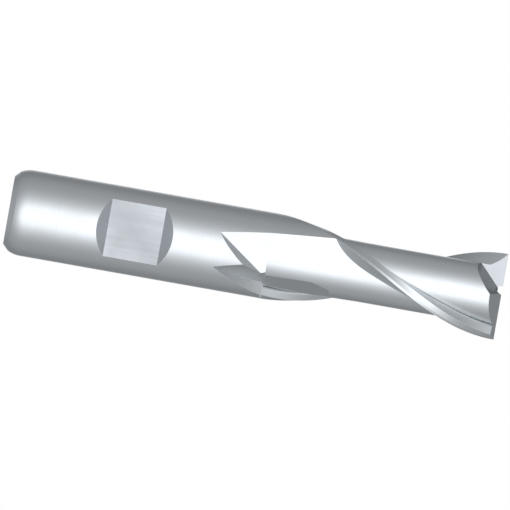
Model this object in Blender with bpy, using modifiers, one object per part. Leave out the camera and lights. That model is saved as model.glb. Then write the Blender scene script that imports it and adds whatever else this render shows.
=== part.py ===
"""A 16 mm two-flute end mill with a side-lock clamping flat, in two pieces joined by a friction weld.

The tool stands on its shank end. +Z runs along the axis to the cutting end, the origin is the centre of
the shank end, and the clamping flat faces -Y. Angles about the axis are counterclockwise from +X, seen
from the cutting end. One tooth meets the tip at +X, and the other at -X.
"""

import math

import bmesh
import bpy
from mathutils import Matrix, Vector

# Whole tool
LENGTH = 0.092
CUT_RADIUS = 0.008
SHANK_RADIUS = 0.008
WELD_HEIGHT = 0.035
WELD_GAP = 0.00002
FLUTED_FROM = 0.0485

# Shank end
END_FACE_RADIUS = 0.00633
BEVEL_RADIUS = 0.0074
BEVEL_HEIGHT = 0.00103
CORNER_HEIGHT = 0.00365
CORNER_CURVE = 2.4
CORNER_STEPS = 4
CENTRE_HOLE_RADIUS = 0.001
CENTRE_HOLE_DEPTH = 0.0042
COUNTERSINK_RADIUS = 0.0021

# Clamping flat, cut across the shank with 45-degree ends
FLAT_HEIGHT = 0.0235
FLAT_WIDTH = 0.0101
FLAT_DEPTH = 0.00205

# Cross-section of the flutes
HELIX_LEAD = 2 * math.pi * CUT_RADIUS / math.tan(math.radians(30))
CORE_RADIUS = 0.0055
CORE_RADIUS_AT_SHANK = 0.0057
CORE_GROWS_BELOW = 0.066
CORE_GROWTH_LENGTH = 0.010
LAND_ANGLE = math.radians(3.6)
LAND_RADIUS = 0.985 * CUT_RADIUS
HEEL_ANGLE = math.radians(12)
HEEL_RADIUS = 0.935 * CUT_RADIUS
HEEL_FOOT_ANGLE = math.radians(15)
HEEL_FOOT_RADIUS = 0.72 * CUT_RADIUS
RAKE_FOOT_ANGLE = math.radians(12)
HEEL_FILLET_RADIUS = 0.0005

# Flat start of a flute: where its upper edge lies on the cutting cylinder, as an angle from -Y towards -X
START_EDGE_ANGLE = math.radians(31.9)
START_EDGE_TURN = math.radians(0.81) / 0.001
START_EDGE_TO = 0.06025

# Planes of the pockets that end a flute on the neck, and of the facet along the core: (turn
# about the axis from -Y towards +X, lean towards the tip, height, distance from the axis at that height)
FLOOR_PLANE = (math.radians(12.6), math.radians(6.2), FLUTED_FROM, 0.00570)
WALL_PLANE = (math.radians(-43.7), math.radians(34.8), 0.0391, 0.007335)
LOWER_FLOOR_PLANE = (math.radians(57), math.radians(8.8), FLUTED_FROM, 0.00550)
LOWER_WALL_TURN = math.radians(10)
CORE_FACET_PLANE = (math.radians(57), math.radians(0.6), FLUTED_FROM, 0.00544)
CORE_FACET_FROM = FLUTED_FROM - 0.0003
CORE_FACET_TO = 0.0605
CORE_FACET_WALL_TURN = math.radians(3)
POCKET_CORE_RADIUS = 0.0054
POCKET_TOP = FLUTED_FROM + 0.00005
POCKET_BOTTOM = 0.036
WALL_STEP = 0.00002
SPACE_RADIUS = 0.0115
SPACE_INNER_RADIUS = 0.002
SPACE_ANGLES = (38, 62, 86)
SPACE_WALL_BELOW_HEEL = 0.0022
SPACE_WALL_ABOVE_HEEL = 0.0008

# End teeth
END_RELIEF = math.radians(21)
GASH_FLOOR_NORMAL = Vector((-0.649, -0.325, 0.687))
SHORT_TOOTH_GASH_START = Vector((-0.00155, 0, LENGTH - 0.00087))
LONG_TOOTH_FLOOR_NORMAL = Vector((0.53, 0.325, 0.783))
LONG_TOOTH_GASH_START = Vector((-0.0008, 0, LENGTH - 0.00083))
GASH_OVERCUT = 0.00002
NOTCH_DEPTH = 0.00083
NOTCH_MOUTH = (-0.00033, -0.002)
NOTCH_FLOOR = (-0.0008, -0.00184)

# Fineness
CORE_ARC_STEPS = 12
RAKE_STEPS = 10
FILLET_POINTS = 4
TWIST_STEP = math.radians(5)
SPACE_TWIST_STEP = math.radians(2.5)
ROUND_SEGMENTS = 96
BLOCK_SIZE = 0.04


def clear_scene():
    for thing in list(bpy.data.objects):
        bpy.data.objects.remove(thing, do_unlink=True)


def new_collection(name):
    collection = bpy.data.collections.new(name)
    bpy.context.scene.collection.children.link(collection)
    return collection


def steel(name, colour, roughness):
    material = bpy.data.materials.new(name)
    material.use_nodes = True
    shader = material.node_tree.nodes["Principled BSDF"]
    shader.inputs["Base Color"].default_value = (*colour, 1)
    shader.inputs["Metallic"].default_value = 1
    shader.inputs["Roughness"].default_value = roughness
    return material


def object_from(bm, name, collection):
    mesh = bpy.data.meshes.new(name)
    bmesh.ops.recalc_face_normals(bm, faces=bm.faces)
    bm.to_mesh(mesh)
    bm.free()
    made = bpy.data.objects.new(name, mesh)
    collection.objects.link(made)
    return made


def hide(cutter):
    cutter.hide_render = True
    cutter.display_type = "WIRE"
    return cutter


def combine(target, other, operation, solver="EXACT"):
    modifier = target.modifiers.new(f"{operation.lower()} {other.name}", "BOOLEAN")
    modifier.operation = operation
    modifier.solver = solver
    modifier.object = other


def block_beyond(name, point, normal, collection):
    """A large block whose base passes through a point and which lies on the side the normal points to."""
    bm = bmesh.new()
    bmesh.ops.create_cube(bm, size=BLOCK_SIZE)
    bmesh.ops.translate(bm, verts=bm.verts, vec=(0, 0, BLOCK_SIZE / 2))
    turn = Vector((0, 0, 1)).rotation_difference(normal.normalized()).to_matrix().to_4x4()
    bm.transform(Matrix.Translation(point) @ turn)
    return hide(object_from(bm, name, collection))


def plane_block(name, plane, half_turn, collection):
    """The block outside one of the planes that end a flute."""
    turn, lean, height, distance = plane
    turn += half_turn
    outward = Vector((math.sin(turn), -math.cos(turn), 0))
    normal = outward * math.cos(lean) + Vector((0, 0, math.sin(lean)))
    return block_beyond(name, outward * distance + Vector((0, 0, height)), normal, collection)


def cylinder(name, radius, bottom, top, collection):
    bm = bmesh.new()
    bmesh.ops.create_cone(
        bm, cap_ends=True, segments=ROUND_SEGMENTS, radius1=radius, radius2=radius, depth=top - bottom
    )
    bmesh.ops.translate(bm, verts=bm.verts, vec=(0, 0, (top + bottom) / 2))
    return hide(object_from(bm, name, collection))


def polar(radius, angle):
    return Vector((radius * math.cos(angle), radius * math.sin(angle)))


def fillet(point, direction, side, radius, core):
    """Points of an arc from a straight wall to the round core, both of which it touches smoothly."""
    offset = point + side * radius
    along = offset.dot(direction)
    reach = (core + radius) ** 2 - offset.length_squared + along**2
    centre = offset + direction * (-along - math.sqrt(reach))
    start = centre - side * radius
    end = centre * (core / (core + radius))
    first, last = start - centre, end - centre
    sweep = first.angle_signed(last)
    return [
        centre + Matrix.Rotation(-sweep * step / FILLET_POINTS, 2) @ first
        for step in range(FILLET_POINTS + 1)
    ]


def crossing(first, second, third, fourth):
    """Where the line through the first two points meets the line through the other two."""
    along, across = second - first, fourth - third
    share = (third - first).cross(across) / along.cross(across)
    return first + along * share


def rake_side(core, height):
    """Points from a cutting edge to the core: down the rake wall, or from the flat start of the flute."""
    edge, foot = Vector((CUT_RADIUS, 0)), polar(core, RAKE_FOOT_ANGLE)
    start = START_EDGE_ANGLE + START_EDGE_TURN * (min(height, START_EDGE_TO) - FLUTED_FROM)
    start_angle = -start - math.pi / 2 - tooth_angle(height)
    touch_angle = start_angle + math.acos(core / CUT_RADIUS)
    start_edge, touch = polar(CUT_RADIUS, start_angle), polar(core, touch_angle)
    shares = [step / RAKE_STEPS for step in range(1, RAKE_STEPS + 1)]
    if start_angle > 0:
        upper = [polar(CUT_RADIUS, start_angle * share) for share in shares]
    elif touch_angle > RAKE_FOOT_ANGLE:
        upper = [edge.lerp(crossing(edge, foot, start_edge, touch), share) for share in shares]
    else:
        touch, touch_angle = foot, RAKE_FOOT_ANGLE
        upper = [edge.lerp(foot, share) for share in shares]
    return upper + [upper[-1].lerp(touch, share) for share in shares], touch_angle


def half_outline(core, height):
    """One tooth and the core up to the next tooth, counterclockwise, with the cutting edge on +X."""
    heel = polar(HEEL_RADIUS, -HEEL_ANGLE)
    wall = (polar(HEEL_FOOT_RADIUS, -HEEL_FOOT_ANGLE) - heel).normalized()
    heel_fillet = fillet(heel, wall, Vector((wall.y, -wall.x)), HEEL_FILLET_RADIUS, core)
    edge = Vector((CUT_RADIUS, 0))
    rake, core_from = rake_side(core, height)
    core_to = math.pi + math.atan2(heel_fillet[-1].y, heel_fillet[-1].x)
    shares = [step / CORE_ARC_STEPS for step in range(1, CORE_ARC_STEPS)]
    core_arc = [polar(core, core_from + (core_to - core_from) * share) for share in shares]
    return [*reversed(heel_fillet), heel, polar(LAND_RADIUS, -LAND_ANGLE), edge, *rake, *core_arc]


def outline(height):
    half = half_outline(core_radius(height), height)
    return half + [-point for point in half]


def core_radius(height):
    growth = (CORE_GROWS_BELOW - height) / CORE_GROWTH_LENGTH
    return CORE_RADIUS + (CORE_RADIUS_AT_SHANK - CORE_RADIUS) * min(max(growth, 0), 1)


def tooth_angle(height):
    return 2 * math.pi * (height - LENGTH) / HELIX_LEAD


def ring(bm, points, height):
    turn = Matrix.Rotation(tooth_angle(height), 2)
    return [bm.verts.new((*(turn @ point), height)) for point in points]


def heights(bottom, top, twist_step=TWIST_STEP):
    steps = math.ceil((tooth_angle(top) - tooth_angle(bottom)) / twist_step)
    return [bottom + (top - bottom) * step / steps for step in range(steps + 1)]


def loft(bm, rings):
    """Sides between rings with the same number of points, and a cap on each end."""
    for lower, upper in zip(rings, rings[1:]):
        for i in range(len(lower)):
            j = (i + 1) % len(lower)
            bm.faces.new((lower[i], lower[j], upper[j], upper[i]))
    bm.faces.new(reversed(rings[0]))
    bm.faces.new(rings[-1])


def neck_circle():
    """The round neck, with a point beside each point of the fluted outline where they meet."""
    half = half_outline(core_radius(FLUTED_FROM), FLUTED_FROM)
    heel_at, edge = FILLET_POINTS + 1, FILLET_POINTS + 3
    touch_at = edge + 2 * RAKE_STEPS
    angles = [math.atan2(point.y, point.x) for point in half]
    heel_angle, touch_angle = angles[heel_at], angles[touch_at]
    step = (heel_angle + math.pi - touch_angle) / (len(half) - touch_at + heel_at)
    for i in range(len(half)):
        if i > touch_at:
            angles[i] = touch_angle + step * (i - touch_at)
        elif i < heel_at:
            angles[i] = heel_angle - step * (heel_at - i)
    points = [polar(SHANK_RADIUS, angle) for angle in angles]
    return points + [-point for point in points]


def helical_space(name, bottom, top, half_turn, collection):
    """The space in front of a heel wall, as wide as a flute: of the tooth at -X at the tip, or with a
    half turn of the other one."""
    heel = polar(HEEL_RADIUS, -HEEL_ANGLE)
    wall = (polar(HEEL_FOOT_RADIUS, -HEEL_FOOT_ANGLE) - heel).normalized()
    into_flute = Vector((wall.y, -wall.x)) * WALL_STEP
    inner = heel + wall * SPACE_WALL_BELOW_HEEL + into_flute
    outer = heel - wall * SPACE_WALL_ABOVE_HEEL + into_flute
    far = [polar(SPACE_RADIUS, -math.radians(angle)) for angle in SPACE_ANGLES]
    axis_side = polar(SPACE_INNER_RADIUS, -math.radians(SPACE_ANGLES[-1]))
    points = [-outer, -(heel + into_flute), -inner, -axis_side]
    points += [-point for point in reversed(far)]
    bm = bmesh.new()
    loft(bm, [ring(bm, points, height) for height in heights(bottom, top, SPACE_TWIST_STEP)])
    bm.transform(Matrix.Rotation(half_turn, 4, "Z"))
    return hide(object_from(bm, name, collection))


def make_shank(parts, cutters, material):
    profile = [
        (0, WELD_HEIGHT - WELD_GAP),
        (SHANK_RADIUS, WELD_HEIGHT - WELD_GAP),
        (SHANK_RADIUS, CORNER_HEIGHT),
    ]
    for step in range(1, CORNER_STEPS + 1):
        share = step / CORNER_STEPS
        radius = SHANK_RADIUS - (SHANK_RADIUS - BEVEL_RADIUS) * share**CORNER_CURVE
        profile.append((radius, CORNER_HEIGHT + (BEVEL_HEIGHT - CORNER_HEIGHT) * share))
    cone_top = (COUNTERSINK_RADIUS - CENTRE_HOLE_RADIUS) / math.tan(math.radians(30))
    profile += [
        (END_FACE_RADIUS, 0),
        (COUNTERSINK_RADIUS, 0),
        (CENTRE_HOLE_RADIUS, cone_top),
        (CENTRE_HOLE_RADIUS, CENTRE_HOLE_DEPTH),
        (0, CENTRE_HOLE_DEPTH + CENTRE_HOLE_RADIUS / 2),
    ]
    mesh = bpy.data.meshes.new("shank")
    points = [(radius, 0, height) for radius, height in profile]
    mesh.from_pydata(points, [(i, i + 1) for i in range(len(points) - 1)], [])
    shank = bpy.data.objects.new("shank", mesh)
    parts.objects.link(shank)
    turned = shank.modifiers.new("turned", "SCREW")
    turned.steps = turned.render_steps = ROUND_SEGMENTS
    turned.use_merge_vertices = True
    turned.merge_threshold = 0.00001
    mesh.materials.append(material)

    bm = bmesh.new()
    bmesh.ops.create_cube(bm, size=1)
    bmesh.ops.scale(bm, verts=bm.verts, vec=(3 * SHANK_RADIUS, 2 * FLAT_DEPTH, FLAT_WIDTH))
    for vert in bm.verts:
        if vert.co.y < 0:
            vert.co.z += math.copysign(2 * FLAT_DEPTH, vert.co.z)
    bmesh.ops.translate(bm, verts=bm.verts, vec=(0, -SHANK_RADIUS, FLAT_HEIGHT))
    combine(shank, hide(object_from(bm, "flat_cutter", cutters)), "DIFFERENCE")
    return shank


def make_run_out_cutters(side, half_turn, core, below, cutters):
    """The pockets that end one flute on the neck, and the facet that goes on from them along the core."""
    upper = plane_block(f"{side}_upper_pocket", FLOOR_PLANE, half_turn, cutters)
    wall = plane_block(f"{side}_upper_pocket_wall", WALL_PLANE, half_turn, cutters)
    combine(upper, wall, "INTERSECT")
    lower = plane_block(f"{side}_lower_pocket", LOWER_FLOOR_PLANE, half_turn, cutters)
    space_turn = half_turn - LOWER_WALL_TURN
    space = helical_space(f"{side}_lower_wall", POCKET_BOTTOM, POCKET_TOP + 0.003, space_turn, cutters)
    combine(lower, space, "INTERSECT")
    for pocket in (upper, lower):
        combine(pocket, below, "INTERSECT")
        combine(pocket, core, "DIFFERENCE")
    facet = plane_block(f"{side}_core_facet", CORE_FACET_PLANE, half_turn, cutters)
    space_turn = half_turn - CORE_FACET_WALL_TURN
    space = helical_space(f"{side}_core_facet_wall", CORE_FACET_FROM, CORE_FACET_TO, space_turn, cutters)
    combine(facet, space, "INTERSECT")
    return [upper, lower, facet]


def make_gash(name, start, normal, facing, cutters):
    """The space in front of one end tooth, between its flat face and a sloping floor."""
    gash = block_beyond(name, start, normal, cutters)
    face_point = Vector((0, -facing * GASH_OVERCUT, start.z))
    face = block_beyond(f"{name}_face", face_point, Vector((0, facing, 0)), cutters)
    combine(gash, face, "INTERSECT")
    return gash


def make_notch(cutters):
    """The slot across the end, between the long tooth and the short one."""
    over = 0.001
    profile = [
        (NOTCH_MOUTH[0], LENGTH + over),
        (NOTCH_MOUTH[0], LENGTH),
        (NOTCH_FLOOR[0], LENGTH - NOTCH_DEPTH),
        (NOTCH_FLOOR[1], LENGTH - NOTCH_DEPTH),
        (NOTCH_MOUTH[1], LENGTH),
        (NOTCH_MOUTH[1], LENGTH + over),
    ]
    bm = bmesh.new()
    rings = [[bm.verts.new((x, y, z)) for x, z in profile] for y in (-0.0013, 0.009)]
    loft(bm, rings)
    return hide(object_from(bm, "end_notch", cutters))


def make_end_cutters(cutters):
    tip = Vector((0, 0, LENGTH))
    reliefs = []
    for side, slope in (("front", -END_RELIEF), ("back", END_RELIEF)):
        normal = Vector((0, math.sin(slope), math.cos(slope)))
        reliefs.append(block_beyond(f"{side}_end_relief", tip, normal, cutters))
    short = make_gash("short_tooth_gash", SHORT_TOOTH_GASH_START, GASH_FLOOR_NORMAL, -1, cutters)
    long = make_gash("long_tooth_gash", LONG_TOOTH_GASH_START, LONG_TOOTH_FLOOR_NORMAL, 1, cutters)
    return [*reliefs, short, long, make_notch(cutters)]


def make_head(parts, cutters, material):
    neck = neck_circle()
    bm = bmesh.new()
    turn = Matrix.Rotation(tooth_angle(FLUTED_FROM), 2)
    rings = [[bm.verts.new((*(turn @ p), z)) for p in neck] for z in (WELD_HEIGHT, FLUTED_FROM)]
    for height in heights(FLUTED_FROM, LENGTH + 0.0005):
        rings.append(ring(bm, outline(height), height))
    loft(bm, rings)
    bmesh.ops.remove_doubles(bm, verts=bm.verts, dist=1e-6)
    head = object_from(bm, "fluted_head", parts)
    head.data.materials.append(material)
    for cutter in make_end_cutters(cutters):
        combine(head, cutter, "DIFFERENCE")
    core = cylinder("pocket_core", POCKET_CORE_RADIUS, 0.030, 0.062, cutters)
    below = cylinder("below_flutes", 2 * CUT_RADIUS, 0.030, POCKET_TOP, cutters)
    for side, half_turn in (("front", 0), ("back", math.pi)):
        for cutter in make_run_out_cutters(side, half_turn, core, below, cutters):
            combine(head, cutter, "DIFFERENCE", "MANIFOLD")
    return head


def main():
    clear_scene()
    parts = new_collection("end_mill")
    cutters = new_collection("cutters")
    make_shank(parts, cutters, steel("shank_steel", (0.56, 0.58, 0.60), 0.30))
    make_head(parts, cutters, steel("tool_steel", (0.60, 0.62, 0.64), 0.24))
    for part in parts.objects:
        part.data.shade_smooth()
        part.data.set_sharp_from_angle(angle=math.radians(25))


main()
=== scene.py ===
"""Looks of the 16 mm two-flute end mill: fine ground-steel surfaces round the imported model.

The tool stands on its shank end with +Z along its axis, and the clamping flat faces -Y. Angles about the
axis are counterclockwise from +X, seen from the cutting end. Lengths are in metres.
"""

import math

import bmesh
import bpy
import numpy as np
from mathutils import Matrix, Vector


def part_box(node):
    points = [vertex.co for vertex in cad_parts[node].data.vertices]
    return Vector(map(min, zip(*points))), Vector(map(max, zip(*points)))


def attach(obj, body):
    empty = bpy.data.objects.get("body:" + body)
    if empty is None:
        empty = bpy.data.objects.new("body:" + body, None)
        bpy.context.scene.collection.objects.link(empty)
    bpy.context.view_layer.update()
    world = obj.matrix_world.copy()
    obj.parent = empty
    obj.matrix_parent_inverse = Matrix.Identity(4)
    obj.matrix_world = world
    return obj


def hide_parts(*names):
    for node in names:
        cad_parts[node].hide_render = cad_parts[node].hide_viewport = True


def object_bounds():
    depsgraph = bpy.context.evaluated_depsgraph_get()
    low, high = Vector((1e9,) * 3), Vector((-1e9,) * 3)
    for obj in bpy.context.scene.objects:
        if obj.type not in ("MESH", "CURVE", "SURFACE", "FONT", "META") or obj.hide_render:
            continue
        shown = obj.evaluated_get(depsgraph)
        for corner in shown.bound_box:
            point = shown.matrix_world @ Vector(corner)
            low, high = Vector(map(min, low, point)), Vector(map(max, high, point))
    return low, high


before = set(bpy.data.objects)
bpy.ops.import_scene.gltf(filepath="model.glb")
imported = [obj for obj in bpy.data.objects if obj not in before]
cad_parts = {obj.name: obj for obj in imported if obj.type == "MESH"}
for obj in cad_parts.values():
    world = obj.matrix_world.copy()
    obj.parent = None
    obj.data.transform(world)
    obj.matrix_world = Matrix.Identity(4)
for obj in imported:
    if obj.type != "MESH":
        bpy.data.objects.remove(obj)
cad_low, cad_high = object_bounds()

# Whole tool. The length is one micrometre under the real one, so that the tip stays in the CAD box.
LENGTH = 0.091999
NOMINAL_RADIUS = 0.008
SHANK_RADIUS = cad_high.x
CUT_RADIUS = SHANK_RADIUS
WELD_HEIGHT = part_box("fluted_head")[0].z
FLUTED_FROM = 0.0485
TIP_OVERCUT = 0.0005

# Shank end: a flat face, a straight bevel, and a curve from there to the full radius
END_FACE_RADIUS = 0.00633
BEVEL_RADIUS = 0.0074
BEVEL_HEIGHT = 0.00103
CORNER_HEIGHT = 0.00365
CORNER_CURVE = 2.4
CENTRE_HOLE_RADIUS = 0.001
CENTRE_HOLE_DEPTH = 0.0042
COUNTERSINK_RADIUS = 0.0021
COUNTERSINK_HALF_ANGLE = math.radians(30)

# Clamping flat, cut across the shank with 45-degree ends
FLAT_HEIGHT = 0.0235
FLAT_WIDTH = 0.0101
FLAT_DEPTH = 0.00205

# Cross-section of the flutes
HELIX_ANGLE = math.radians(30)
HELIX_LEAD = 2 * math.pi * NOMINAL_RADIUS / math.tan(HELIX_ANGLE)
CORE_RADIUS = 0.0055
CORE_RADIUS_AT_SHANK = 0.0057
CORE_GROWS_BELOW = 0.066
CORE_GROWTH_LENGTH = 0.010
LAND_ANGLE = math.radians(3.6)
LAND_RADIUS = 0.985 * CUT_RADIUS
HEEL_ANGLE = math.radians(12)
HEEL_RADIUS = 0.935 * CUT_RADIUS
HEEL_FOOT_ANGLE = math.radians(15)
HEEL_FOOT_RADIUS = 0.72 * CUT_RADIUS
RAKE_FOOT_ANGLE = math.radians(12)
HEEL_FILLET_RADIUS = 0.0005

# Flat start of a flute: where its upper edge lies on the cutting cylinder, as an angle from -Y towards -X
START_EDGE_ANGLE = math.radians(31.9)
START_EDGE_TURN = math.radians(0.81) / 0.001
START_EDGE_TO = 0.06025

# Planes of the pockets that end a flute on the neck, and of the facet along the core: (turn
# about the axis from -Y towards +X, lean towards the tip, height, distance from the axis at that height)
FLOOR_PLANE = (math.radians(12.6), math.radians(6.2), FLUTED_FROM, 0.00570)
WALL_PLANE = (math.radians(-43.7), math.radians(34.8), 0.0391, 0.007335)
LOWER_FLOOR_PLANE = (math.radians(57), math.radians(8.8), FLUTED_FROM, 0.00550)
LOWER_WALL_TURN = math.radians(10)
CORE_FACET_PLANE = (math.radians(57), math.radians(0.6), FLUTED_FROM, 0.00544)
CORE_FACET_FROM = FLUTED_FROM - 0.0003
CORE_FACET_TO = 0.0605
CORE_FACET_WALL_TURN = math.radians(3)

# Pockets: they lie between two heights, and a cylinder keeps the core beside them whole
POCKET_BOTTOM = 0.036
POCKET_TOP = FLUTED_FROM + 0.00005
POCKET_CORE_RADIUS = 0.0054
POCKET_CORE_BOTTOM = 0.030
POCKET_CORE_TOP = 0.062

# Helical space along a heel: it starts a small step in front of the heel's wall, and its far side runs
# through the angles, in degrees behind the cutting edge
SPACE_TOP = FLUTED_FROM + 0.003
SPACE_RADIUS = 0.0115
SPACE_INNER_RADIUS = 0.002
SPACE_ANGLES = (38, 62, 86)
SPACE_WALL_BELOW_HEEL = 0.0022
SPACE_WALL_ABOVE_HEEL = 0.0008
WALL_STEP = 0.00001

# End teeth, whose cuts all lie within END_TEETH_HEIGHT of the tip. The notch is a slot along Y: its mouth
# and its floor are given by two places along X, and its ends by two along Y.
END_TEETH_HEIGHT = 0.0095
END_RELIEF = math.radians(21)
GASH_FLOOR_NORMAL = Vector((-0.649, -0.325, 0.687))
SHORT_TOOTH_GASH_START = Vector((-0.00155, 0, LENGTH - 0.00087))
LONG_TOOTH_FLOOR_NORMAL = Vector((0.53, 0.325, 0.783))
LONG_TOOTH_GASH_START = Vector((-0.0008, 0, LENGTH - 0.00083))
GASH_OVERCUT = 0.00002
NOTCH_DEPTH = 0.00083
NOTCH_MOUTH = (-0.00033, -0.002)
NOTCH_FLOOR = (-0.0008, -0.00184)
NOTCH_ENDS = (-0.0013, 0.009)
NOTCH_OVERCUT = 0.001

# Fineness
CORE_ARC_STEPS = 44
RAKE_STEPS = 10
FILLET_POINTS = 22
LAND_POINTS = 3
TWIST_STEP = math.radians(1.25)
ROUND_SEGMENTS = 288
CORNER_POINTS = 12
BLOCK_SIZE = 0.04
SHARP_ANGLE = math.radians(4.7)
MERGE_DISTANCE = 1e-6

# How near a face has to be to a surface to belong to it, and the radius from which it is part of a land
ROUND_SLACK = 0.00002
FLAT_SLACK = 0.00001
CORE_SLACK = 0.00003
TOOTH_FACE_SLACK = 0.0001
LAND_FROM = 0.93 * CUT_RADIUS

# Parts of a unit normal, by which a face is told apart: along a direction, near it, at a slope, or across it
SAME_DIRECTION = 0.999999
TOOTH_FACE_SQUARE = 0.99999
SQUARE = 0.999
END_FACE_SQUARE = 0.99
NEARLY_SQUARE = 0.95
SLOPING = 0.6
ACROSS = 0.01
NOTCH_ACROSS = 0.0001

# Base colours, and how much of each channel is left in a warmer patch. STEEL is the steel's own colour. The
# flat, rake, gash, flat-end and pocket colours are darker copies of it with painted shade, and the
# pocket-floor colour is a lighter copy with painted light, for how the light falls on those surfaces
STEEL = (0.745, 0.770, 0.780)
FLAT_STEEL_PAINTED_SHADE = (0.495, 0.515, 0.530)
RAKE_STEEL_PAINTED_SHADE = (0.535, 0.555, 0.57)
GASH_STEEL_PAINTED_SHADE = (0.33, 0.345, 0.355)
FLAT_END_STEEL_PAINTED_SHADE = (0.63, 0.655, 0.675)
BEVEL_STEEL = (0.82, 0.845, 0.86)
FLOOR_STEEL_PAINTED_LIGHT = (0.770, 0.790, 0.800)
POCKET_STEEL_PAINTED_SHADE = (0.62, 0.64, 0.65)
WARM_TINT = (0.97, 0.955, 0.94)

# Grind marks: shares of the fine and the coarse grooves, and how far they change colour and roughness
FINE_SHARE = 0.6
COARSE_SHARE = 0.4
COARSE_SCALE = 0.21
MARK_RANGE = (0.35, 0.65)
DARK_MARK = 0.80
MATT_RANGE = (0.30, 0.70)
SMOOTHER = 0.035
ROUGHER = 0.045
GROOVE_DEPTH = 0.00002

# Clouds: slow changes of colour and roughness over the steel
CLOUD_SCALE = 160.0
CLOUD_COLOUR_RANGE = (0.42, 0.68)
CLOUD_COLOUR_SHARE = 0.5
CLOUD_MATT_RANGE = (0.35, 0.70)
CLOUD_SMOOTHER = 0.02
CLOUD_ROUGHER = 0.03

# Worn edges, found by how far the rounded normal turns away from the face's own
WEAR_RANGE = (0.995, 0.90)
WEAR_SAMPLES = 6
WEAR_BRIGHTER = 1.18
WEAR_SHARE = 0.6

# Painted reflection on the flat: its colour is lighter away from its diagonal, in place of the studio
# light's reflection
PAINTED_REFLECTION_LIGHTER = 1.28
PAINTED_REFLECTION_REACH = 0.0075

# Studio light: (degrees away from the brightest direction, strength), and that direction from -Y towards +X
STUDIO_STOPS = (
    (180, 1.20),
    (168, 0.75),
    (153, 0.27),
    (134, 0.28),
    (112, 0.36),
    (95, 0.42),
    (80, 0.44),
    (67, 0.52),
    (55, 0.64),
    (43, 0.84),
    (33, 1.12),
    (24, 1.50),
    (0, 1.60),
)
STUDIO_TINT = (0.94, 0.963, 1)
BRIGHT_TURN = math.radians(5)

# Floor and lamp
FLOOR_HALF_SIZE = 0.6
FLOOR_LIGHTER = (0.90, 0.90, 0.895, 1)
FLOOR_DARKER = (0.84, 0.84, 0.84, 1)
FLOOR_GRAIN = 900.0
FLOOR_ROUGHNESS = 0.8
LAMP_PLACE = Vector((0.12, -0.30, 0.75))
LAMP_AIM = Vector((0, 0, 0.04))
LAMP_SIZE = 0.5
LAMP_POWER = 6.0

# Camera: square to the flat, with the tip a little lower in the view
CAMERA_TILT = math.radians(10.02)
CAMERA_DISTANCE = 0.5
CAMERA_FAR = 10
VIEW_WIDTH = 0.0939
VIEW_BELOW_AXIS = 0.0003


def object_from(bm, name):
    mesh = bpy.data.meshes.new(name)
    bmesh.ops.recalc_face_normals(bm, faces=bm.faces)
    bm.to_mesh(mesh)
    bm.free()
    made = bpy.data.objects.new(name, mesh)
    bpy.context.scene.collection.objects.link(made)
    return made


def combine(target, other, operation):
    """Cuts, joins or intersects at once, and removes the other object."""
    modifier = target.modifiers.new("combine", "BOOLEAN")
    modifier.operation = operation
    modifier.solver = "MANIFOLD"
    modifier.object = other
    bpy.context.view_layer.update()
    graph = bpy.context.evaluated_depsgraph_get()
    result = bpy.data.meshes.new_from_object(target.evaluated_get(graph))
    target.modifiers.clear()
    target.data = result
    bpy.data.objects.remove(other)
    return target


def block_beyond(point, normal):
    """A large block whose base passes through a point and which lies on the side the normal points to."""
    bm = bmesh.new()
    bmesh.ops.create_cube(bm, size=BLOCK_SIZE)
    bmesh.ops.translate(bm, verts=bm.verts, vec=(0, 0, BLOCK_SIZE / 2))
    turn = Vector((0, 0, 1)).rotation_difference(normal.normalized()).to_matrix().to_4x4()
    bm.transform(Matrix.Translation(point) @ turn)
    return object_from(bm, "block")


def plane_block(plane, half_turn):
    """The block outside one of the planes that end a flute."""
    turn, lean, height, distance = plane
    turn += half_turn
    outward = Vector((math.sin(turn), -math.cos(turn), 0))
    normal = outward * math.cos(lean) + Vector((0, 0, math.sin(lean)))
    return block_beyond(outward * distance + Vector((0, 0, height)), normal)


def cylinder(radius, bottom, top):
    bm = bmesh.new()
    bmesh.ops.create_cone(
        bm, cap_ends=True, segments=ROUND_SEGMENTS, radius1=radius, radius2=radius, depth=top - bottom
    )
    bmesh.ops.translate(bm, verts=bm.verts, vec=(0, 0, (top + bottom) / 2))
    return object_from(bm, "cylinder")


def polar(radius, angle):
    return Vector((radius * math.cos(angle), radius * math.sin(angle)))


def fillet(point, direction, side, radius, core):
    """Points of an arc from a straight wall to the round core, both of which it touches smoothly."""
    offset = point + side * radius
    along = offset.dot(direction)
    reach = (core + radius) ** 2 - offset.length_squared + along**2
    centre = offset + direction * (-along - math.sqrt(reach))
    first = -side * radius
    last = centre * (core / (core + radius)) - centre
    sweep = first.angle_signed(last)
    return [
        centre + Matrix.Rotation(-sweep * step / FILLET_POINTS, 2) @ first
        for step in range(FILLET_POINTS + 1)
    ]


def between(first, last, count):
    """Points between two points, without them."""
    return [first.lerp(last, step / (count + 1)) for step in range(1, count + 1)]


def crossing(first, second, third, fourth):
    """Where the line through the first two points meets the line through the other two."""
    along, across = second - first, fourth - third
    share = (third - first).cross(across) / along.cross(across)
    return first + along * share


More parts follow.
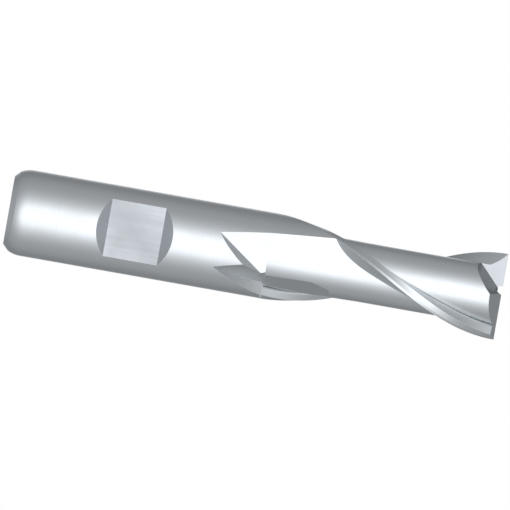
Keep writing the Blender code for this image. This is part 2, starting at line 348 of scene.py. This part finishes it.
def rake_side(core, height):
    """Points from a cutting edge to the core: down the rake wall, or from the flat start of the flute."""
    edge, foot = Vector((CUT_RADIUS, 0)), polar(core, RAKE_FOOT_ANGLE)
    start = START_EDGE_ANGLE + START_EDGE_TURN * (min(height, START_EDGE_TO) - FLUTED_FROM)
    start_angle = -start - math.pi / 2 - tooth_angle(height)
    touch_angle = start_angle + math.acos(core / CUT_RADIUS)
    start_edge, touch = polar(CUT_RADIUS, start_angle), polar(core, touch_angle)
    shares = [step / RAKE_STEPS for step in range(1, RAKE_STEPS + 1)]
    if start_angle > 0:
        upper = [polar(CUT_RADIUS, start_angle * share) for share in shares]
    elif touch_angle > RAKE_FOOT_ANGLE:
        upper = [edge.lerp(crossing(edge, foot, start_edge, touch), share) for share in shares]
    else:
        touch, touch_angle = foot, RAKE_FOOT_ANGLE
        upper = [edge.lerp(foot, share) for share in shares]
    return upper + [upper[-1].lerp(touch, share) for share in shares], touch_angle


def half_outline(core, height):
    """One tooth and the core up to the next tooth, counterclockwise, with the cutting edge on +X."""
    heel = polar(HEEL_RADIUS, -HEEL_ANGLE)
    land = polar(LAND_RADIUS, -LAND_ANGLE)
    edge = Vector((CUT_RADIUS, 0))
    wall = (polar(HEEL_FOOT_RADIUS, -HEEL_FOOT_ANGLE) - heel).normalized()
    heel_fillet = fillet(heel, wall, Vector((wall.y, -wall.x)), HEEL_FILLET_RADIUS, core)
    rake, core_from = rake_side(core, height)
    core_to = math.pi + math.atan2(heel_fillet[-1].y, heel_fillet[-1].x)
    shares = [step / CORE_ARC_STEPS for step in range(1, CORE_ARC_STEPS)]
    core_arc = [polar(core, core_from + (core_to - core_from) * share) for share in shares]
    tooth = [*reversed(heel_fillet), heel, *between(heel, land, LAND_POINTS), land]
    tooth += [*between(land, edge, 1), edge]
    return [*tooth, *rake, *core_arc], len(tooth) - 1


def outline(height):
    half, _ = half_outline(core_radius(height), height)
    return half + [-point for point in half]


def core_radius(height):
    growth = (CORE_GROWS_BELOW - height) / CORE_GROWTH_LENGTH
    return CORE_RADIUS + (CORE_RADIUS_AT_SHANK - CORE_RADIUS) * min(max(growth, 0), 1)


def tooth_angle(height):
    return 2 * math.pi * (height - LENGTH) / HELIX_LEAD


def ring(bm, points, height):
    turn = Matrix.Rotation(tooth_angle(height), 2)
    return [bm.verts.new((*(turn @ point), height)) for point in points]


def heights(bottom, top):
    steps = math.ceil((tooth_angle(top) - tooth_angle(bottom)) / TWIST_STEP)
    return [bottom + (top - bottom) * step / steps for step in range(steps + 1)]


def loft(bm, rings):
    """Sides between rings with the same number of points, and a cap on each end."""
    for lower, upper in zip(rings, rings[1:]):
        for i in range(len(lower)):
            j = (i + 1) % len(lower)
            bm.faces.new((lower[i], lower[j], upper[j], upper[i]))
    bm.faces.new(reversed(rings[0]))
    bm.faces.new(rings[-1])


def neck_circle():
    """The round neck, with a point beside each point of the fluted outline where they meet."""
    half, edge = half_outline(core_radius(FLUTED_FROM), FLUTED_FROM)
    heel_at = FILLET_POINTS + 1
    touch_at = edge + 2 * RAKE_STEPS
    angles = [math.atan2(point.y, point.x) for point in half]
    heel_angle, touch_angle = angles[heel_at], angles[touch_at]
    step = (heel_angle + math.pi - touch_angle) / (len(half) - touch_at + heel_at)
    for i in range(len(half)):
        if i > touch_at:
            angles[i] = touch_angle + step * (i - touch_at)
        elif i < heel_at:
            angles[i] = heel_angle - step * (heel_at - i)
    points = [polar(SHANK_RADIUS, angle) for angle in angles]
    return points + [-point for point in points]


def helical_space(bottom, top, half_turn):
    """The space in front of a heel wall, as wide as a flute: of the tooth at -X at the tip, or with a
    half turn of the other one."""
    heel = polar(HEEL_RADIUS, -HEEL_ANGLE)
    wall = (polar(HEEL_FOOT_RADIUS, -HEEL_FOOT_ANGLE) - heel).normalized()
    into_flute = Vector((wall.y, -wall.x)) * WALL_STEP
    inner = heel + wall * SPACE_WALL_BELOW_HEEL + into_flute
    outer = heel - wall * SPACE_WALL_ABOVE_HEEL + into_flute
    angles = [-math.radians(angle) for angle in SPACE_ANGLES]
    far = [polar(SPACE_RADIUS, angle) for angle in angles]
    points = [-outer, -(heel + into_flute), -inner, -polar(SPACE_INNER_RADIUS, angles[-1])]
    points += [-point for point in reversed(far)]
    bm = bmesh.new()
    loft(bm, [ring(bm, points, height) for height in heights(bottom, top)])
    bm.transform(Matrix.Rotation(half_turn, 4, "Z"))
    return object_from(bm, "helical_space")


def cut_run_outs(head):
    """Ends both flutes on the neck, with two pockets and a facet on the core each."""
    for half_turn in (0, math.pi):
        upper = combine(plane_block(FLOOR_PLANE, half_turn), plane_block(WALL_PLANE, half_turn), "INTERSECT")
        space = helical_space(POCKET_BOTTOM, SPACE_TOP, half_turn - LOWER_WALL_TURN)
        lower = combine(plane_block(LOWER_FLOOR_PLANE, half_turn), space, "INTERSECT")
        for pocket in (upper, lower):
            combine(pocket, cylinder(2 * CUT_RADIUS, POCKET_CORE_BOTTOM, POCKET_TOP), "INTERSECT")
            core = cylinder(POCKET_CORE_RADIUS, POCKET_CORE_BOTTOM, POCKET_CORE_TOP)
            combine(pocket, core, "DIFFERENCE")
            combine(head, pocket, "DIFFERENCE")
        space = helical_space(CORE_FACET_FROM, CORE_FACET_TO, half_turn - CORE_FACET_WALL_TURN)
        combine(head, combine(plane_block(CORE_FACET_PLANE, half_turn), space, "INTERSECT"), "DIFFERENCE")


def gash(start, normal, facing):
    """The space in front of one end tooth, between its flat face and a sloping floor."""
    face = block_beyond(Vector((0, -facing * GASH_OVERCUT, start.z)), Vector((0, facing, 0)))
    return combine(block_beyond(start, normal), face, "INTERSECT")


def end_notch():
    """The slot across the end, between the long tooth and the short one."""
    profile = [
        (NOTCH_MOUTH[0], LENGTH + NOTCH_OVERCUT),
        (NOTCH_MOUTH[0], LENGTH),
        (NOTCH_FLOOR[0], LENGTH - NOTCH_DEPTH),
        (NOTCH_FLOOR[1], LENGTH - NOTCH_DEPTH),
        (NOTCH_MOUTH[1], LENGTH),
        (NOTCH_MOUTH[1], LENGTH + NOTCH_OVERCUT),
    ]
    bm = bmesh.new()
    loft(bm, [[bm.verts.new((x, y, z)) for x, z in profile] for y in NOTCH_ENDS])
    return object_from(bm, "end_notch")


def cut_end(head):
    """Cuts the relief on both sides of the end, a gash before each tooth, and the notch."""
    for side in (-1, 1):
        slope = Vector((0, side * math.sin(END_RELIEF), math.cos(END_RELIEF)))
        combine(head, block_beyond(Vector((0, 0, LENGTH)), slope), "DIFFERENCE")
    combine(head, gash(SHORT_TOOTH_GASH_START, GASH_FLOOR_NORMAL, -1), "DIFFERENCE")
    combine(head, gash(LONG_TOOTH_GASH_START, LONG_TOOTH_FLOOR_NORMAL, 1), "DIFFERENCE")
    combine(head, end_notch(), "DIFFERENCE")


def make_head():
    """The neck and the teeth as one loft, with the end and the run-outs cut into it."""
    neck = neck_circle()
    bm = bmesh.new()
    turn = Matrix.Rotation(tooth_angle(FLUTED_FROM), 2)
    rings = [[bm.verts.new((*(turn @ p), z)) for p in neck] for z in (WELD_HEIGHT, FLUTED_FROM)]
    for height in heights(FLUTED_FROM, LENGTH + TIP_OVERCUT):
        rings.append(ring(bm, outline(height), height))
    loft(bm, rings)
    bmesh.ops.remove_doubles(bm, verts=bm.verts, dist=MERGE_DISTANCE)
    head = object_from(bm, "head_ground")
    cut_end(head)
    cut_run_outs(head)
    return head


def shank_profile():
    """Radius and height of the shank's outline, from the weld down its side and up into its centre hole."""
    profile = [(0, WELD_HEIGHT), (SHANK_RADIUS, WELD_HEIGHT), (SHANK_RADIUS, CORNER_HEIGHT)]
    for step in range(1, CORNER_POINTS + 1):
        share = step / CORNER_POINTS
        radius = SHANK_RADIUS - (SHANK_RADIUS - BEVEL_RADIUS) * share**CORNER_CURVE
        profile.append((radius, CORNER_HEIGHT + (BEVEL_HEIGHT - CORNER_HEIGHT) * share))
    cone_top = (COUNTERSINK_RADIUS - CENTRE_HOLE_RADIUS) / math.tan(COUNTERSINK_HALF_ANGLE)
    return profile + [
        (END_FACE_RADIUS, 0),
        (COUNTERSINK_RADIUS, 0),
        (CENTRE_HOLE_RADIUS, cone_top),
        (CENTRE_HOLE_RADIUS, CENTRE_HOLE_DEPTH),
        (0, CENTRE_HOLE_DEPTH + CENTRE_HOLE_RADIUS / 2),
    ]


def make_shank():
    """The outline turned about the axis, with the clamping flat cut across it."""
    bm = bmesh.new()
    rows = []
    for radius, height in shank_profile():
        count = ROUND_SEGMENTS if radius else 1
        turns = [2 * math.pi * i / count for i in range(count)]
        rows.append([bm.verts.new((radius * math.cos(t), radius * math.sin(t), height)) for t in turns])
    for above, below in zip(rows, rows[1:]):
        for i in range(ROUND_SEGMENTS):
            j = (i + 1) % ROUND_SEGMENTS
            corners = [above[i % len(above)], below[i % len(below)]]
            corners += [below[j % len(below)], above[j % len(above)]]
            bm.faces.new(list(dict.fromkeys(corners)))
    shank = object_from(bm, "shank_ground")

    bm = bmesh.new()
    bmesh.ops.create_cube(bm, size=1)
    bmesh.ops.scale(bm, verts=bm.verts, vec=(3 * SHANK_RADIUS, 2 * FLAT_DEPTH, FLAT_WIDTH))
    for vert in bm.verts:
        if vert.co.y < 0:
            vert.co.z += math.copysign(2 * FLAT_DEPTH, vert.co.z)
    bmesh.ops.translate(bm, verts=bm.verts, vec=(0, -SHANK_RADIUS, FLAT_HEIGHT))
    return combine(shank, object_from(bm, "flat_cutter"), "DIFFERENCE")


class Graph:
    """Short ways to add shader nodes and join them."""

    def __init__(self, tree):
        self.tree = tree

    def node(self, kind, *sockets, **settings):
        """Adds a node, with its settings, and with its first input sockets set or linked in order."""
        made = self.tree.nodes.new(kind)
        for key, value in settings.items():
            setattr(made, key, value)
        for socket, value in zip(made.inputs, sockets):
            self.put(socket, value)
        return made

    def put(self, socket, value):
        if isinstance(value, bpy.types.NodeSocket):
            self.tree.links.new(value, socket)
        elif value is not None:
            socket.default_value = value

    def math(self, operation, *values):
        return self.node("ShaderNodeMath", *values, operation=operation).outputs[0]

    def mix(self, factor, first, second):
        made = self.node("ShaderNodeMix", data_type="RGBA")
        for name, value in (("Factor_Float", factor), ("A_Color", first), ("B_Color", second)):
            self.put(next(s for s in made.inputs if s.identifier == name), value)
        return next(s for s in made.outputs if s.identifier == "Result_Color")

    def remap(self, value, low, high, to_low, to_high):
        return self.node("ShaderNodeMapRange", value, low, high, to_low, to_high).outputs[0]

    def noise(self, vector, scale, detail, roughness=0.5):
        made = self.node("ShaderNodeTexNoise")
        settings = {"Vector": vector, "Scale": scale, "Detail": detail, "Roughness": roughness}
        for name, value in settings.items():
            self.put(made.inputs[name], value)
        return made.outputs[0]

    def stretch(self, vector, scale):
        return self.node("ShaderNodeVectorMath", vector, scale, operation="MULTIPLY").outputs[0]


def surface_place(graph, untwist):
    """Where a point is on the tool, turned back along the helix for a surface that was ground along it."""
    place = graph.node("ShaderNodeTexCoord").outputs["Object"]
    if not untwist:
        return place
    height = graph.node("ShaderNodeSeparateXYZ", place).outputs["Z"]
    turn = graph.math("MULTIPLY", height, -2 * math.pi / HELIX_LEAD)
    turned = graph.node("ShaderNodeVectorRotate", rotation_type="Z_AXIS")
    graph.put(turned.inputs["Vector"], place)
    graph.put(turned.inputs["Angle"], turn)
    return turned.outputs[0]


def painted_diagonal_reflection(graph, place, colour):
    """Painted reflection: the flat's colour is made lighter away from its diagonal, in place of the studio
    light's reflection.
    """
    split = graph.node("ShaderNodeSeparateXYZ", place)
    along = graph.math("SUBTRACT", split.outputs["Z"], FLAT_HEIGHT)
    away = graph.math("ABSOLUTE", graph.math("SUBTRACT", along, split.outputs["X"]))
    light = tuple(PAINTED_REFLECTION_LIGHTER * c for c in colour)
    return graph.mix(graph.remap(away, 0.0, PAINTED_REFLECTION_REACH, 0.0, 1.0), (*colour, 1), (*light, 1))


def ground_steel(
    name, grain, roughness, colour=STEEL, untwist=False, marks=0.10, bump=0.05, painted_reflection=False, wear=0.00006
):
    """Steel with grind marks: grain is how fast the marks change along X, Y and Z, per metre, marks is how
    far they darken the colour, bump is how deep they look, and wear is the radius of the worn edges."""
    material = bpy.data.materials.new(name)
    material.use_nodes = True
    graph = Graph(material.node_tree)
    shader = material.node_tree.nodes["Principled BSDF"]
    shader.inputs["Metallic"].default_value = 1
    place = surface_place(graph, untwist)
    fine = graph.noise(graph.stretch(place, grain), 1.0, 3.0, 0.6)
    coarse = graph.noise(graph.stretch(place, [g * COARSE_SCALE for g in grain]), 1.0, 2.0)
    cloud = graph.noise(place, CLOUD_SCALE, 3.0)
    rounded = graph.node("ShaderNodeBevel", wear, samples=WEAR_SAMPLES).outputs[0]
    flat = graph.node("ShaderNodeNewGeometry").outputs["Normal"]
    facing = graph.node("ShaderNodeVectorMath", rounded, flat, operation="DOT_PRODUCT").outputs["Value"]
    worn = graph.remap(facing, *WEAR_RANGE, 0.0, 1.0)

    fine_part = graph.math("MULTIPLY", fine, FINE_SHARE)
    grooves = graph.math("ADD", fine_part, graph.math("MULTIPLY", coarse, COARSE_SHARE))
    dark = tuple(DARK_MARK * c for c in colour)
    # Painted reflection: on the flat, the base colour is made lighter away from its diagonal
    base = painted_diagonal_reflection(graph, place, colour) if painted_reflection else (*colour, 1)
    tint = graph.mix(graph.remap(grooves, *MARK_RANGE, 0.0, marks), base, (*dark, 1))
    warm = tuple(share * c for share, c in zip(WARM_TINT, colour))
    tint = graph.mix(graph.remap(cloud, *CLOUD_COLOUR_RANGE, 0.0, CLOUD_COLOUR_SHARE), tint, (*warm, 1))
    bright = tuple(min(1.0, WEAR_BRIGHTER * c) for c in colour)
    tint = graph.mix(graph.math("MULTIPLY", worn, WEAR_SHARE), tint, (*bright, 1))
    graph.put(shader.inputs["Base Color"], tint)

    matt = graph.remap(grooves, *MATT_RANGE, roughness - SMOOTHER, roughness + ROUGHER)
    clouded = graph.remap(cloud, *CLOUD_MATT_RANGE, -CLOUD_SMOOTHER, CLOUD_ROUGHER)
    graph.put(shader.inputs["Roughness"], graph.math("ADD", matt, clouded))
    relief = graph.node("ShaderNodeBump")
    relief.inputs["Strength"].default_value = bump
    relief.inputs["Distance"].default_value = GROOVE_DEPTH
    graph.put(relief.inputs["Height"], grooves)
    graph.put(relief.inputs["Normal"], rounded)
    graph.put(shader.inputs["Normal"], relief.outputs[0])
    return material


def make_materials():
    """One finish for each kind of surface, with its grain and its roughness."""
    # The flat, flat_end, pocket, gash and rake finishes carry painted shade in their colours, and the floor
    # finish carries painted light
    return {
        "round": ground_steel("ground_round", (40, 40, 7000), 0.27, wear=0.00002),
        "bevel": ground_steel("turned_bevel", (300, 300, 9000), 0.34, BEVEL_STEEL, marks=0.2),
        "end_face": ground_steel("faced_end", (2500, 2500, 300), 0.36, marks=0.25),
        # The flat's colour also carries a painted reflection, which is lighter away from its diagonal
        "flat": ground_steel(
            "ground_flat", (5200, 60, 90), 0.46, FLAT_STEEL_PAINTED_SHADE, marks=0.25, bump=0.08, painted_reflection=True
        ),
        "flat_end": ground_steel("milled_flat_end", (60, 4000, 4000), 0.40, FLAT_END_STEEL_PAINTED_SHADE, marks=0.2),
        "flute": ground_steel("ground_flute", (4200, 4200, 60), 0.27, untwist=True, marks=0.14),
        "land": ground_steel("ground_land", (5200, 5200, 80), 0.22, untwist=True, marks=0.12),
        "pocket": ground_steel("ground_pocket", (2600, 900, 700), 0.27, POCKET_STEEL_PAINTED_SHADE, marks=0.14),
        "gash": ground_steel("ground_gash", (900, 700, 5200), 0.26, GASH_STEEL_PAINTED_SHADE, marks=0.14),
        "relief": ground_steel("ground_relief", (900, 3200, 900), 0.26, marks=0.14),
        "floor": ground_steel("ground_floor", (2600, 900, 500), 0.22, FLOOR_STEEL_PAINTED_LIGHT, marks=0.08),
        "rake": ground_steel("ground_rake", (700, 900, 4200), 0.30, RAKE_STEEL_PAINTED_SHADE, marks=0.14),
    }


def smoothed(mesh):
    """Corner normals that are smooth across the round surfaces and flat on the planes."""
    mesh.shade_smooth()
    mesh.set_sharp_from_angle(angle=SHARP_ANGLE)
    normals = np.zeros(len(mesh.loops) * 3, np.float32)
    mesh.corner_normals.foreach_get("vector", normals)
    return normals.reshape(-1, 3)


def finish_piece(piece, kinds, kind_of, materials):
    """Gives each face its finish, and exact normals to the planes and to the round outside."""
    mesh = piece.data
    mesh.materials.clear()
    for kind in kinds:
        mesh.materials.append(materials[kind])
    normals = smoothed(mesh)
    for face in mesh.polygons:
        kind, shape = kind_of(face.center, face.normal)
        face.material_index = kinds.index(kind)
        for loop in face.loop_indices:
            if shape == "plane":
                normals[loop] = face.normal
            elif shape == "round":
                place = mesh.vertices[mesh.loops[loop].vertex_index].co
                normals[loop] = Vector((place.x, place.y, 0)).normalized()
    mesh.normals_split_custom_set(normals.tolist())
    return piece


def shank_kind(centre, normal):
    """The finish of a face of the shank, and the kind of surface that it lies on."""
    radius = math.hypot(centre.x, centre.y)
    if centre.z < CORNER_HEIGHT:
        if normal.z < -END_FACE_SQUARE:
            return "end_face", "plane"
        return ("bevel" if centre.z < BEVEL_HEIGHT or radius < END_FACE_RADIUS else "round"), "loft"
    if abs(centre.y + SHANK_RADIUS - FLAT_DEPTH) < FLAT_SLACK and normal.y < -SQUARE:
        return "flat", "plane"
    if abs(normal.z) > SLOPING and abs(normal.x) < ACROSS and radius < SHANK_RADIUS:
        return "flat_end", "plane"
    return "round", ("round" if radius > SHANK_RADIUS - ROUND_SLACK else "loft")


def run_out_normals(plane):
    """The normals of one of the planes that end a flute, on both sides of the tool."""
    turn, lean, _, _ = plane
    found = []
    for side in (turn, turn + math.pi):
        flat = Vector((math.sin(side), -math.cos(side), 0)) * math.cos(lean)
        found.append(flat + Vector((0, 0, math.sin(lean))))
    return found


def on_plane(normals, normal):
    return max(normal.dot(plane) for plane in normals) > SAME_DIRECTION


def end_kind(centre, normal):
    """The finish of a flat face of the end teeth, or nothing for a face of the flutes."""
    slopes = [Vector((0, side * math.sin(END_RELIEF), math.cos(END_RELIEF))) for side in (-1, 1)]
    if on_plane(slopes, normal):
        return "relief", "plane"
    in_notch = math.hypot(centre.x, centre.y) < CORE_RADIUS and abs(normal.y) < NOTCH_ACROSS
    floors = [GASH_FLOOR_NORMAL.normalized(), LONG_TOOTH_FLOOR_NORMAL.normalized()]
    if on_plane(floors, normal) or in_notch:
        return "gash", "plane"
    if abs(normal.y) > TOOTH_FACE_SQUARE and abs(centre.y) < TOOTH_FACE_SLACK:
        return "rake", "plane"
    return None


def head_kind(centre, normal):
    """The finish of a face of the head, and the kind of surface that it lies on."""
    radius = math.hypot(centre.x, centre.y)
    below_flutes = centre.z < FLUTED_FROM
    beside_start = centre.z < START_EDGE_TO
    found = end_kind(centre, normal) if centre.z > LENGTH - END_TEETH_HEIGHT else None
    if found:
        return found
    if radius > SHANK_RADIUS - ROUND_SLACK and abs(normal.z) < ACROSS and beside_start:
        return "round", "round"
    if below_flutes and on_plane(run_out_normals(FLOOR_PLANE), normal):
        return "floor", "plane"
    if (below_flutes and on_plane(run_out_normals(WALL_PLANE), normal)) or abs(normal.z) > SQUARE:
        return "flute", "plane"
    lower = run_out_normals(LOWER_FLOOR_PLANE) + run_out_normals(CORE_FACET_PLANE)
    if centre.z < CORE_FACET_TO and on_plane(lower, normal):
        return "pocket", "plane"
    if radius > core_radius(centre.z) + CORE_SLACK and abs(normal.y) > NEARLY_SQUARE and beside_start:
        return "floor", "loft"
    if below_flutes:
        return "floor", "loft"
    return ("land" if radius > LAND_FROM else "flute"), "loft"


def make_world():
    """Soft light from in front, fading round the sides, and a white background."""
    world = bpy.data.worlds.new("studio")
    bpy.context.scene.world = world
    world.use_nodes = True
    world.node_tree.nodes.clear()
    graph = Graph(world.node_tree)
    direction = graph.node("ShaderNodeTexCoord").outputs["Generated"]
    brightest = (math.sin(BRIGHT_TURN), -math.cos(BRIGHT_TURN), 0)
    front = graph.node("ShaderNodeVectorMath", direction, brightest, operation="DOT_PRODUCT")
    ramp = graph.node("ShaderNodeValToRGB", graph.remap(front.outputs["Value"], -1.0, 1.0, 0.0, 1.0))
    bands = ramp.color_ramp
    for _ in STUDIO_STOPS[2:]:
        bands.elements.new(1.0)
    for element, (degrees, light) in zip(bands.elements, STUDIO_STOPS):
        element.position = (1 + math.cos(math.radians(degrees))) / 2
        element.color = (*(light * share for share in STUDIO_TINT), 1)
    soft = graph.node("ShaderNodeBackground", ramp.outputs[0], 1.0)
    white = graph.node("ShaderNodeBackground", (1, 1, 1, 1), 1.0)
    seen = graph.node("ShaderNodeLightPath").outputs["Is Camera Ray"]
    both = graph.node("ShaderNodeMixShader", seen, soft.outputs[0], white.outputs[0])
    graph.node("ShaderNodeOutputWorld", both.outputs[0])


def make_floor():
    """A pale floor under the tool, which the metal doesn't reflect."""
    bm = bmesh.new()
    bmesh.ops.create_grid(bm, x_segments=1, y_segments=1, size=FLOOR_HALF_SIZE)
    floor = object_from(bm, "floor")
    material = bpy.data.materials.new("pale_floor")
    material.use_nodes = True
    graph = Graph(material.node_tree)
    shader = material.node_tree.nodes["Principled BSDF"]
    place = graph.node("ShaderNodeTexCoord").outputs["Object"]
    grain = graph.noise(place, FLOOR_GRAIN, 4.0)
    graph.put(shader.inputs["Base Color"], graph.mix(grain, FLOOR_LIGHTER, FLOOR_DARKER))
    shader.inputs["Roughness"].default_value = FLOOR_ROUGHNESS
    floor.data.materials.append(material)
    floor.visible_glossy = False


def make_light():
    """A soft lamp overhead, which the metal doesn't reflect."""
    light = bpy.data.lights.new("overhead", "AREA")
    light.shape = "DISK"
    light.size = LAMP_SIZE
    light.energy = LAMP_POWER
    lamp = bpy.data.objects.new("overhead", light)
    lamp.location = LAMP_PLACE
    lamp.rotation_euler = (LAMP_AIM - LAMP_PLACE).to_track_quat("-Z", "Y").to_euler()
    bpy.context.scene.collection.objects.link(lamp)
    lamp.visible_glossy = False
    lamp.visible_camera = False


def make_camera():
    """Looks square at the flat, with the tool lying across the view and its tip a little lower."""
    right = Vector((-math.sin(CAMERA_TILT), 0, math.cos(CAMERA_TILT)))
    up = Vector((-math.cos(CAMERA_TILT), 0, -math.sin(CAMERA_TILT)))
    back = Vector((0, -1, 0))
    camera = bpy.data.objects.new("camera", bpy.data.cameras.new("camera"))
    camera.data.type = "ORTHO"
    camera.data.ortho_scale = VIEW_WIDTH
    camera.data.clip_end = CAMERA_FAR
    turn = Matrix((right, up, back)).transposed().to_4x4()
    middle = Vector((0, 0, LENGTH / 2)) - up * VIEW_BELOW_AXIS
    camera.matrix_world = Matrix.Translation(middle + back * CAMERA_DISTANCE) @ turn
    bpy.context.scene.collection.objects.link(camera)
    bpy.context.scene.camera = camera


def main():
    materials = make_materials()
    shank_kinds = ["round", "bevel", "end_face", "flat", "flat_end"]
    shank = finish_piece(make_shank(), shank_kinds, shank_kind, materials)
    head_kinds = ["round", "flute", "land", "pocket", "floor", "gash", "relief", "rake"]
    head = finish_piece(make_head(), head_kinds, head_kind, materials)
    for piece, node, slot in ((shank, "shank", "shank_steel"), (head, "fluted_head", "tool_steel")):
        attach(piece, "root")
        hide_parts(node)
    make_world()
    make_floor()
    make_light()
    make_camera()
    bpy.context.scene.view_settings.view_transform = "Standard"


main()
